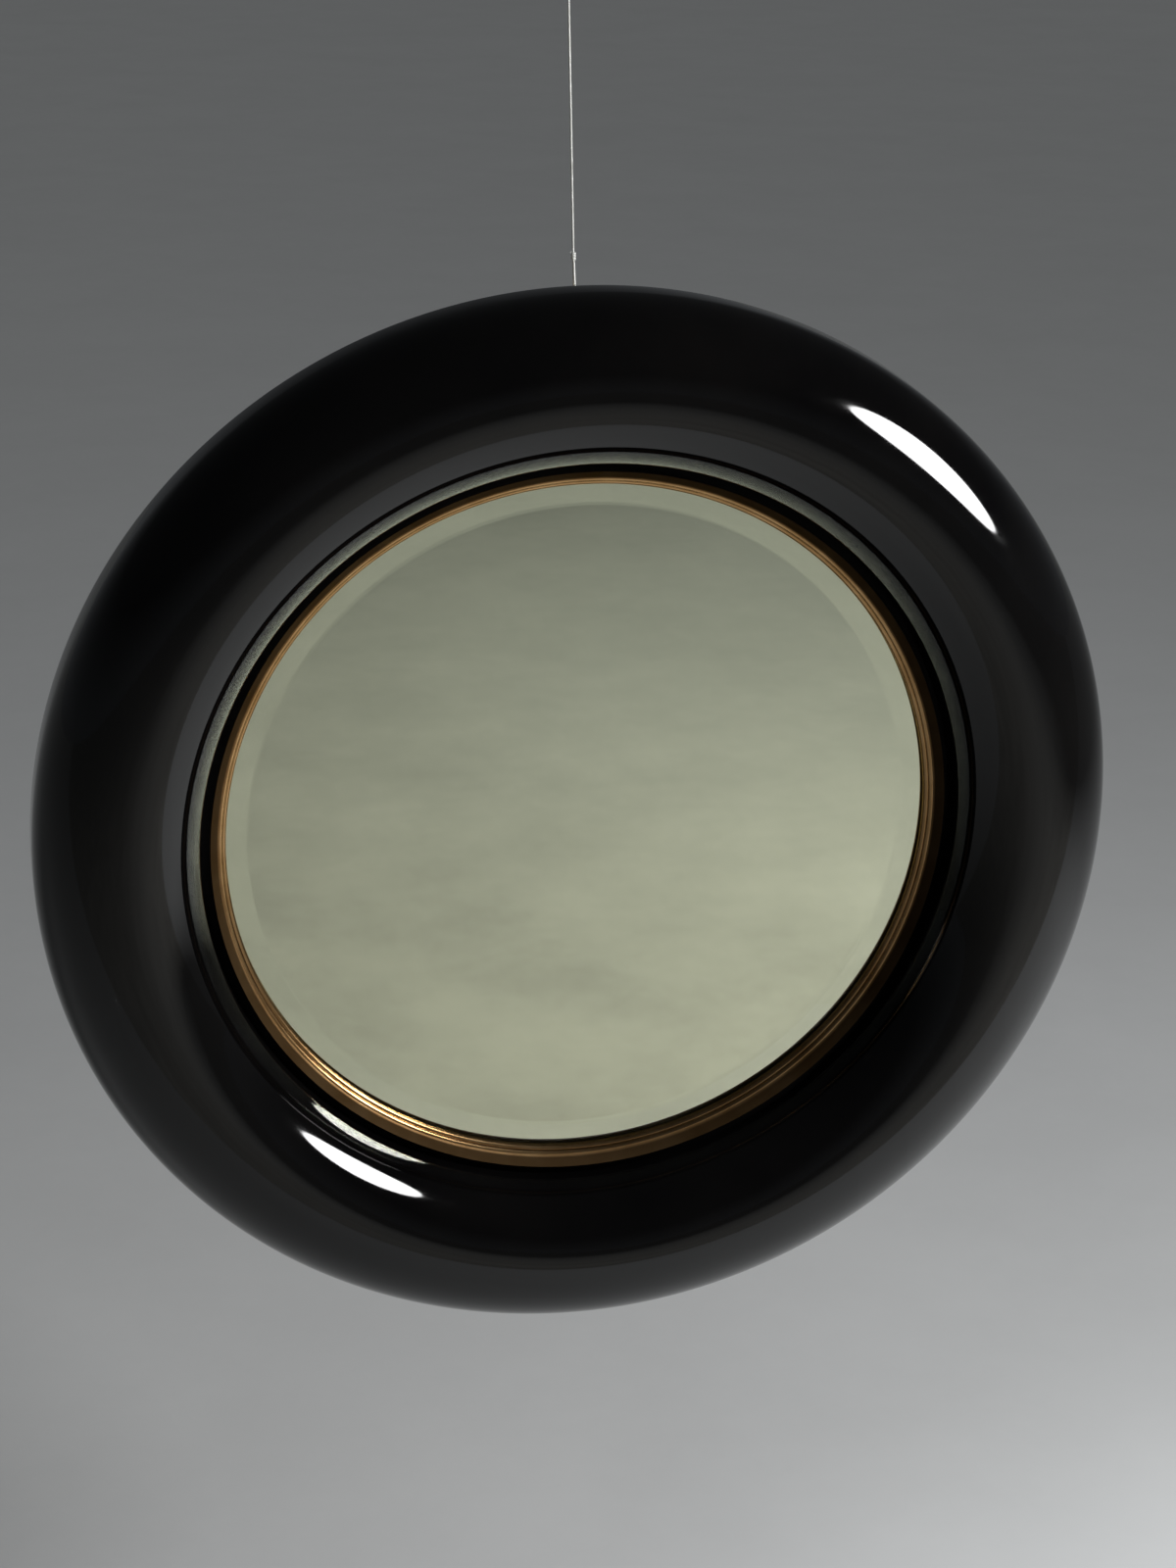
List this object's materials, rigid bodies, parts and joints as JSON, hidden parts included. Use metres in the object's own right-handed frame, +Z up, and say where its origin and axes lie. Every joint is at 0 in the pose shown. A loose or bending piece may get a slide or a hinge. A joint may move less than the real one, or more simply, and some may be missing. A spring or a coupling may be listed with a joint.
{
  "type": "round mirror",
  "caption": "Round bevelled wall mirror in a bold black lacquered roll frame with a bronze-gilt slip, hung by a line from a D ring on its back.",
  "frame": {"origin": "centre of the mirror on the plane of the wall, where its rubber bumpers touch", "axes": "+Y from the mirror into the wall along the mirror's axis, +Z up, so the glass faces -Y"},
  "size_m": [0.8, 0.1356, 1.0352],
  "materials": {
    "black_lacquer": "turned wood under high-gloss black lacquer",
    "bronze_gilt": "carved wood under burnished bronze gilding",
    "plate_glass": "polished, bevelled edge",
    "silvering": "silvered, painted behind",
    "felt": "pressed felt",
    "cork": "cut cork",
    "card": "grey-brown card",
    "plywood": "birch plywood, sanded",
    "steel": "zinc plated",
    "bumper_rubber": "matt moulded rubber",
    "nylon_line": "clear nylon line"
  },
  "bodies": {
    "frame": {"front_moulding": "black_lacquer", "gilt_slip": "bronze_gilt", "slip_brads": "steel", "mirror_glass": "plate_glass", "silver_coat": "silvering", "felt_ring": "felt", "edge_blocks": "cork", "card_sheet": "card", "backing_board": "plywood", "button_screws": "steel", "rear_ring": "plywood", "rear_ring_screws": "steel", "bumper_1": "bumper_rubber", "bumper_2": "bumper_rubber", "bumper_3": "bumper_rubber", "bumper_4": "bumper_rubber", "bumper_screws": "steel", "hanger_plate": "steel", "hanger_screws": "steel"},
    "ring": {"hanger_ring": "steel"},
    "line": {"hanging_line": "nylon_line", "lower_knot": "nylon_line", "upper_knot": "nylon_line"},
    "button_1": {"turn_button_1": "steel"},
    "button_2": {"turn_button_2": "steel"},
    "button_3": {"turn_button_3": "steel"},
    "button_4": {"turn_button_4": "steel"},
    "button_5": {"turn_button_5": "steel"},
    "button_6": {"turn_button_6": "steel"}
  },
  "joints": [
    {"name": "ring_swing", "type": "hinge", "parent": "frame", "child": "ring", "pos_m": [0, -0.0038, 0.352], "axis": [-1, 0, 0], "range_deg": [-6, 90]},
    {"name": "line_swing", "type": "hinge", "parent": "ring", "child": "line", "pos_m": [0, -0.00129, 0.37184], "axis": [-1, 0, 0], "range_deg": [-5, 80]},
    {"name": "button_1_turn", "type": "hinge", "parent": "frame", "child": "button_1", "pos_m": [0.14592, -0.0178, 0.25275], "axis": [0, 1, 0], "range_deg": [-90, 90]},
    {"name": "button_2_turn", "type": "hinge", "parent": "frame", "child": "button_2", "pos_m": [0.29185, -0.0178, 0], "axis": [0, 1, 0], "range_deg": [-90, 90]},
    {"name": "button_3_turn", "type": "hinge", "parent": "frame", "child": "button_3", "pos_m": [0.14592, -0.0178, -0.25275], "axis": [0, 1, 0], "range_deg": [-90, 90]},
    {"name": "button_4_turn", "type": "hinge", "parent": "frame", "child": "button_4", "pos_m": [-0.14592, -0.0178, -0.25275], "axis": [0, 1, 0], "range_deg": [-90, 90]},
    {"name": "button_5_turn", "type": "hinge", "parent": "frame", "child": "button_5", "pos_m": [-0.29185, -0.0178, 0], "axis": [0, 1, 0], "range_deg": [-90, 90]},
    {"name": "button_6_turn", "type": "hinge", "parent": "frame", "child": "button_6", "pos_m": [-0.14592, -0.0178, 0.25275], "axis": [0, 1, 0], "range_deg": [-90, 90]}
  ]
}
